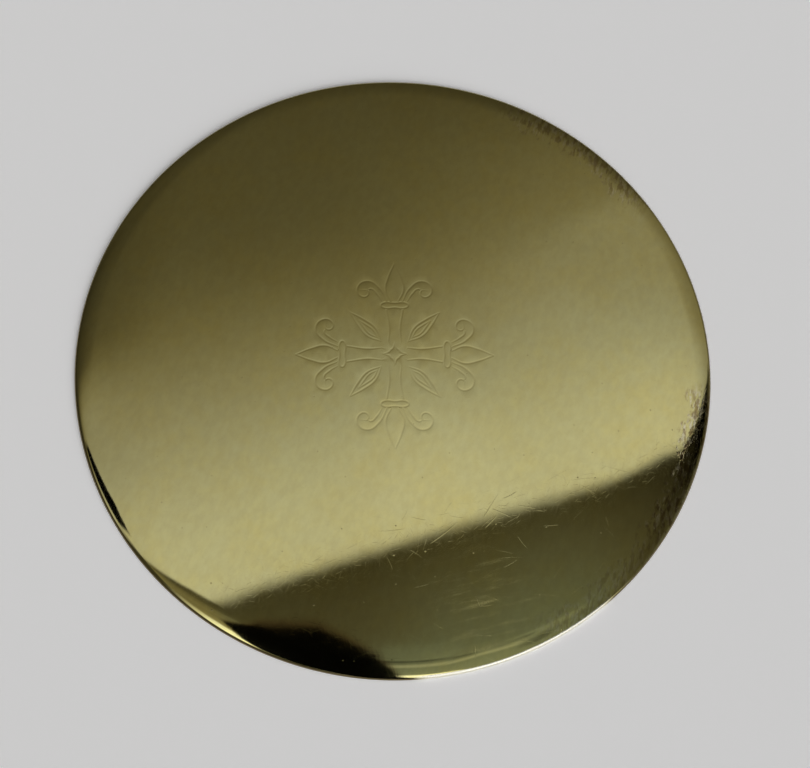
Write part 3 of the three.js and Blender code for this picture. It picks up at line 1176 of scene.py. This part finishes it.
# %% [markdown]
# The sheet's near edge parts the two. It is the border that runs aslant over the plate, so it is drawn
# with care: a line with a slight bend and two small jogs, and never nearer than two limits allow.

# %% The ceiling and its edge
SHEET_EDGE_ENDS = (-1.2, 1.3)  # over u: the edge runs straight on beyond these
SHEET_EDGE_START = -0.018  # its place at u = 0
SHEET_EDGE_SLOPE = 0.309  # times u
SHEET_EDGE_BEND = 0.027  # times u squared
SHEET_EDGE_TWIST = 0.087  # times u cubed
SHEET_EDGE_JOGS = ((0.44, 0.62, 0.0, 0.018), (0.68, 0.84, 0.0, -0.022))  # over u
SHEET_EDGE_AT_LEFT = (0.19, -0.058)  # a slanting line over u
SHEET_EDGE_NEAREST = -0.172
SHEET_EDGE_SOFT = 0.018


def sheet_edge(tree, u):
    """The place of the sheet's near edge, in v."""
    held = held_between(tree, u, *SHEET_EDGE_ENDS)
    square = calc(tree, "POWER", held, 2.0)
    slant = total(tree, [calc(tree, "MULTIPLY", held, SHEET_EDGE_SLOPE),
                         calc(tree, "MULTIPLY", square, SHEET_EDGE_BEND), SHEET_EDGE_START,
                         product(tree, [square, held, SHEET_EDGE_TWIST])]
                  + [ramp(tree, held, *jog) for jog in SHEET_EDGE_JOGS])
    at_left = line(tree, held, *SHEET_EDGE_AT_LEFT)
    return total(tree, [slant, at_left, SHEET_EDGE_NEAREST], "MAXIMUM")


def ceiling(tree, u, v, z):
    beyond = calc(tree, "SUBTRACT", v, sheet_edge(tree, u))
    return tinted(tree, above(tree, beyond, 0.0, SHEET_EDGE_SOFT), near_room(tree, u, v, beyond),
                  lit_sheet(tree, u, v, z, beyond))


print("the sheet's edge bends between", SHEET_EDGE_ENDS[0], "and", SHEET_EDGE_ENDS[1])

# %% [markdown]
# Things that stand in the studio. A dark stand at the left, with the dim corner outside it, makes the
# thin black wedge in the rim. A cable hangs at the near right. The window is behind the camera, and
# the black flag before it has two sloping shoulders and a thin brown border, where a little light
# comes through.

# %% Stand, cable, window and flag
STAND_INNER = (-1.25, -0.655)  # slanting lines over v
STAND_OUTER = (-0.78, -0.863)
STAND_INNER_LIMIT = -0.706
STAND_INNER_SOFT = 0.007
STAND_OUTER_SOFT = 0.010
STAND_FAR = (0.215, 0.02)  # borders over v
STAND_NEAR = (-0.07, 0.02)
CORNER_SHARE = (-0.20, -0.04, 0.75, 0.0)  # over v
CABLE_LEFT = (-0.01, 0.02)  # borders over u
CABLE_RIGHT = (0.34, 0.02)
CABLE_RISE = (0.14, 0.24)  # over u: here it rises from its left height to its right one
DARK_SIDE = (0.03, -0.275)  # its rise, and its place in v before it
LIT_SIDE = (0.05, -0.352)
DARK_SIDE_WIDTH = (0.014, 0.010)  # half the width, and the softness
LIT_SIDE_WIDTH = (0.024, 0.020)
KNOT = (0.40, -0.345, 0.0)
KNOT_SIZE = (0.03, 0.07, 1.0, 0.0)
WINDOW_LEFT_END = (radians(-70), radians(-44))  # by compass, 0 straight behind the camera
WINDOW_RIGHT_END = (radians(60), 0.12)
WINDOW_SILL = (-0.35, -0.10, 0.79, 0.20)  # over x: at the left only the upper part is free
WINDOW_SILL_SOFT = 0.04
WINDOW_TOP_SOFT = 0.02
FLAG_LEFT = -0.405
FLAG_RIGHT = (-0.13, -0.035)  # a slanting line over v
FLAG_TOP = -0.162
FLAG_LEFT_SHOULDER = (0.24, 0.8)  # where it starts, left of the middle, and its slope
FLAG_RIGHT_SHOULDER = (0.12, -0.5)
FLAG_FOOT = (0.14, 0.02)  # a border over the direction's own height
FLAG_SOFT = 0.006
FLAG_BORDER = 0.010  # how far the brown border stands out, and how soft it is


def stand_left(tree, u, v):
    """The mask of the stand and of the corner outside it."""
    inner = calc(tree, "MINIMUM", line(tree, v, *STAND_INNER), STAND_INNER_LIMIT)
    outer = line(tree, v, *STAND_OUTER)
    stand = product(tree, [under(tree, u, inner, STAND_INNER_SOFT),
                           above(tree, u, outer, STAND_OUTER_SOFT),
                           under(tree, v, *STAND_FAR), above(tree, v, *STAND_NEAR)])
    corner = product(tree, [under(tree, u, outer, STAND_OUTER_SOFT), ramp(tree, v, *CORNER_SHARE)])
    return calc(tree, "MAXIMUM", stand, corner)


def cable(tree, u, v):
    """Two masks of the cable: its dark side and its lit side."""
    rise = ramp(tree, u, *CABLE_RISE)
    span = calc(tree, "MULTIPLY", above(tree, u, *CABLE_LEFT), under(tree, u, *CABLE_RIGHT))
    sides = []
    for place_of_side, width in ((DARK_SIDE, DARK_SIDE_WIDTH), (LIT_SIDE, LIT_SIDE_WIDTH)):
        off = calc(tree, "ABSOLUTE", calc(tree, "SUBTRACT", v, line(tree, rise, *place_of_side)))
        sides.append(calc(tree, "MULTIPLY", span, under(tree, off, *width)))
    dark, lit = sides
    knot = ramp(tree, vector(tree, "DISTANCE", joined(tree, u, v, 0.0), KNOT), *KNOT_SIZE)
    return calc(tree, "MAXIMUM", dark, knot), lit


def window(tree, x, y, z, u, v):
    bearing = calc(tree, "ARCTAN2", x, calc(tree, "MULTIPLY", y, -1.0))
    return product(tree, [ramp(tree, bearing, *WINDOW_LEFT_END), under(tree, bearing, *WINDOW_RIGHT_END),
                          under(tree, v, window_top(tree, u), WINDOW_TOP_SOFT),
                          above(tree, z, ramp(tree, x, *WINDOW_SILL), WINDOW_SILL_SOFT)])


def shoulder(tree, u, limit, start, slope):
    """How far the flag's top falls beyond one of its shoulders."""
    past = calc(tree, limit, calc(tree, "ADD", u, start), 0.0)
    return calc(tree, "MULTIPLY", past, slope)


def flag(tree, u, v, z, border=0.0, soft=FLAG_SOFT):
    """The mask of the flag, made larger all round by the border."""
    slope, start = FLAG_RIGHT
    right = line(tree, v, slope, start + border)
    top = total(tree, [shoulder(tree, u, "MAXIMUM", *FLAG_RIGHT_SHOULDER),
                       shoulder(tree, u, "MINIMUM", *FLAG_LEFT_SHOULDER), FLAG_TOP + border])
    sides = calc(tree, "MULTIPLY", above(tree, u, FLAG_LEFT - border, soft), under(tree, u, right, soft))
    ends = calc(tree, "MULTIPLY", under(tree, v, top, soft), above(tree, z, *FLAG_FOOT))
    return calc(tree, "MULTIPLY", sides, ends)


print("the flag reaches from", FLAG_LEFT, "to", FLAG_RIGHT[1])

# %% [markdown]
# The studio as a whole lays these over each other like sheets of paper, the nearest last. Near the
# horizon the room is pale, and most so on the window's side. The floor takes the window's full light.
# The metal mirrors it weaker, as a curtain would soften it, and the camera itself sees a plain
# backdrop as pale as the floor.

# %% The studio
WINDOW_LIGHT = (3.6, 3.6, 3.6, 1.0)
WINDOW_SEEN = (1.3, 1.3, 1.3, 1.0)  # in the metal it stays below a blank white
BACKDROP = (0.60, 0.60, 0.60, 1.0)  # behind the floor's far edge
HORIZON = (0.50, 0.50, 0.50, 1.0)
HORIZON_BY_DEPTH = (-0.3, 0.5, 1.0, 0.3)  # over y
HORIZON_BY_SIDE = (-0.5, 0.1, 0.2, 1.0)  # over x
HORIZON_TOP = (0.10, 0.26)  # over the direction's own height
LOWEST = 0.02  # directions lower than this count as this high
BROWN_SHARE = 0.65
DARK_SIDE_SHARE = 0.45
LIT_SIDE_SHARE = 0.12


def studio_group():
    tree, given, result = new_tree(
        "studio", "ShaderNodeTree",
        [("Direction", VECTOR, None), ("Window", COLOR, WINDOW_SEEN), ("Horizon", COLOR, HORIZON)],
        [("Light", COLOR)])
    x, y, z = parts_of(tree, given["Direction"])
    up = calc(tree, "MAXIMUM", z, LOWEST)
    u, v = calc(tree, "DIVIDE", x, up), calc(tree, "DIVIDE", y, up)
    dark_side, lit_side = cable(tree, u, v)
    horizon_share = product(tree, [ramp(tree, y, *HORIZON_BY_DEPTH), ramp(tree, x, *HORIZON_BY_SIDE)])
    horizon = vector(tree, "SCALE", given["Horizon"], horizon_share)
    brown = calc(tree, "MULTIPLY", flag(tree, u, v, z, FLAG_BORDER, FLAG_BORDER), BROWN_SHARE)

    light = ceiling(tree, u, v, z)
    light = tinted(tree, calc(tree, "MULTIPLY", dark_side, DARK_SIDE_SHARE), light, BLACK)
    light = tinted(tree, calc(tree, "MULTIPLY", lit_side, LIT_SIDE_SHARE), light, PALE)
    light = tinted(tree, stand_left(tree, u, v), light, BLACK)
    light = tinted(tree, window(tree, x, y, z, u, v), light, given["Window"])
    light = tinted(tree, ramp(tree, z, *HORIZON_TOP), horizon, light)
    light = tinted(tree, brown, light, BROWN_SHADE)
    light = tinted(tree, flag(tree, u, v, z), light, BLACK)
    tree.links.new(light, result["Light"])
    return tree


def make_world():
    world = bpy.data.worlds.new("studio")
    world.use_nodes = True
    scene.world = world
    tree = world.node_tree
    direction = tree.nodes.new("ShaderNodeTexCoord").outputs["Generated"]
    path = tree.nodes.new("ShaderNodeLightPath").outputs
    window_light = tinted(tree, path["Is Glossy Ray"], WINDOW_LIGHT, WINDOW_SEEN)
    light = use(tree, studio_group(), "Light", Direction=direction, Window=window_light)
    seen = tinted(tree, path["Is Camera Ray"], light, BACKDROP)
    tree.links.new(seen, tree.nodes["Background"].inputs["Color"])


make_world()
scene.view_settings.view_transform = "Standard"
print("the world is", scene.world.name)

# %% [markdown]
# Last, the script says that it has run to its end.

# %% End
print("the scene is built")
